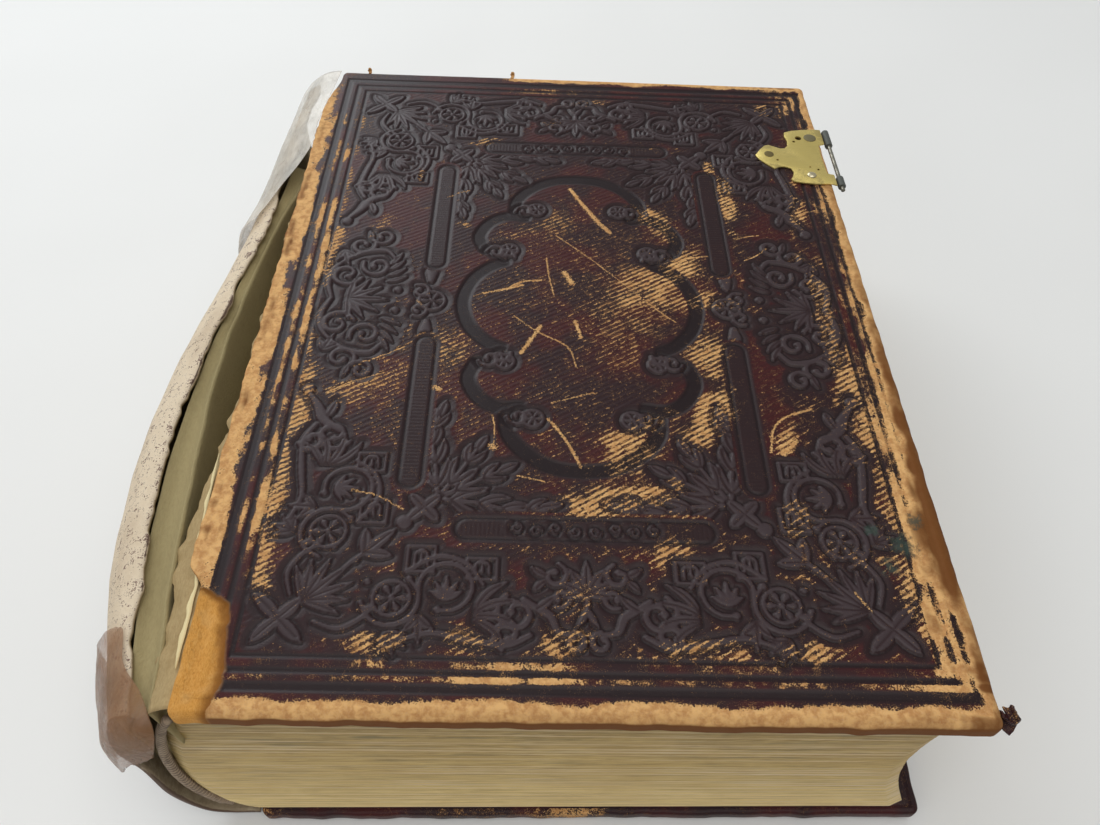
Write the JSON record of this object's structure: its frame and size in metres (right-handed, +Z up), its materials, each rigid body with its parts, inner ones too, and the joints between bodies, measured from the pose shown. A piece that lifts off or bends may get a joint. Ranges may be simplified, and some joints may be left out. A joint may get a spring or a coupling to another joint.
{
  "type": "family bible",
  "caption": "Large leather-bound family Bible with stamped covers, rounded spine torn open along the front joint, gilt edges and a brass clasp plate.",
  "frame": {"origin": "centre of the back cover's underside", "axes": "+X from the spine to the fore edge, +Y from the tail to the head, +Z up through the closed book"},
  "size_m": [0.2749, 0.323, 0.1023],
  "materials": {
    "cover_leather": "stamped and worn",
    "spine_leather": "peeled and torn",
    "board": "fibrous",
    "endpaper": "aged",
    "gilt_leaves": "worn gilt edge",
    "leaf_paper": "aged",
    "cloth": "woven",
    "cord": "wrapped",
    "brass": "tarnished",
    "mending_tape": "aged, translucent"
  },
  "bodies": {
    "leaf_block": {"section_01": "gilt_leaves", "section_02": "gilt_leaves", "section_03": "gilt_leaves", "section_04": "gilt_leaves", "section_05": "gilt_leaves", "section_06": "gilt_leaves", "section_07": "gilt_leaves", "section_08": "gilt_leaves", "section_09": "gilt_leaves", "section_10": "gilt_leaves", "section_11": "gilt_leaves", "section_12": "gilt_leaves", "sewing_tape_1": "cloth", "sewing_tape_2": "cloth", "sewing_tape_3": "cloth", "sewing_tape_4": "cloth", "sewing_tape_5": "cloth", "spine_lining": "cloth", "spine_hollow": "endpaper", "spine_card": "board", "spine_leather": "spine_leather", "headband": "cord", "tailband": "cord", "repair_tape_head": "mending_tape", "repair_tape_tail": "mending_tape"},
    "front_cover": {"front_board": "board", "front_cover_leather": "cover_leather", "front_pastedown": "endpaper", "clasp_plate": "brass", "clasp_pin": "brass", "clasp_nail_1": "brass", "clasp_nail_2": "brass", "clasp_nail_3": "brass"},
    "back_cover": {"back_board": "board", "back_cover_leather": "cover_leather", "back_pastedown": "endpaper", "catch_plate": "brass"},
    "front_flyleaf_body": {"front_flyleaf": "leaf_paper"},
    "front_blank_leaf_body": {"front_blank_leaf": "leaf_paper"},
    "frontispiece_leaf_body": {"frontispiece_leaf": "leaf_paper"},
    "title_leaf_body": {"title_leaf": "leaf_paper"},
    "preface_leaf_body": {"preface_leaf": "leaf_paper"},
    "contents_leaf_body": {"contents_leaf": "leaf_paper"},
    "back_flyleaf_body": {"back_flyleaf": "leaf_paper"},
    "back_blank_leaf_body": {"back_blank_leaf": "leaf_paper"}
  },
  "joints": [
    {"name": "front_joint", "type": "hinge", "parent": "leaf_block", "child": "front_cover", "pos_m": [-0.115, 0, 0.102], "axis": [0, -1, 0], "range_deg": [0, 180]},
    {"name": "back_joint", "type": "hinge", "parent": "leaf_block", "child": "back_cover", "pos_m": [-0.115, 0, 0], "axis": [0, 1, 0], "range_deg": [0, 180]},
    {"name": "front_flyleaf_turn", "type": "hinge", "parent": "leaf_block", "child": "front_flyleaf_body", "pos_m": [-0.115, 0, 0.102], "axis": [0, -1, 0], "range_deg": [0, 180]},
    {"name": "front_blank_leaf_turn", "type": "hinge", "parent": "leaf_block", "child": "front_blank_leaf_body", "pos_m": [-0.115, 0, 0.102], "axis": [0, -1, 0], "range_deg": [0, 180]},
    {"name": "frontispiece_leaf_turn", "type": "hinge", "parent": "leaf_block", "child": "frontispiece_leaf_body", "pos_m": [-0.115, 0, 0.102], "axis": [0, -1, 0], "range_deg": [0, 180]},
    {"name": "title_leaf_turn", "type": "hinge", "parent": "leaf_block", "child": "title_leaf_body", "pos_m": [-0.115, 0, 0.102], "axis": [0, -1, 0], "range_deg": [0, 180]},
    {"name": "preface_leaf_turn", "type": "hinge", "parent": "leaf_block", "child": "preface_leaf_body", "pos_m": [-0.115, 0, 0.102], "axis": [0, -1, 0], "range_deg": [0, 180]},
    {"name": "contents_leaf_turn", "type": "hinge", "parent": "leaf_block", "child": "contents_leaf_body", "pos_m": [-0.115, 0, 0.102], "axis": [0, -1, 0], "range_deg": [0, 180]},
    {"name": "back_flyleaf_turn", "type": "hinge", "parent": "leaf_block", "child": "back_flyleaf_body", "pos_m": [-0.115, 0, 0], "axis": [0, 1, 0], "range_deg": [0, 180]},
    {"name": "back_blank_leaf_turn", "type": "hinge", "parent": "leaf_block", "child": "back_blank_leaf_body", "pos_m": [-0.115, 0, 0], "axis": [0, 1, 0], "range_deg": [0, 180]}
  ],
  "couplings": [
    {"joint": "front_flyleaf_turn", "follows": "front_joint", "ratio": 0.97},
    {"joint": "front_blank_leaf_turn", "follows": "front_joint", "ratio": 0.93},
    {"joint": "frontispiece_leaf_turn", "follows": "front_joint", "ratio": 0.88},
    {"joint": "title_leaf_turn", "follows": "front_joint", "ratio": 0.62},
    {"joint": "preface_leaf_turn", "follows": "front_joint", "ratio": 0.3},
    {"joint": "contents_leaf_turn", "follows": "front_joint", "ratio": 0.1},
    {"joint": "back_flyleaf_turn", "follows": "back_joint", "ratio": 0.97},
    {"joint": "back_blank_leaf_turn", "follows": "back_joint", "ratio": 0.9}
  ]
}
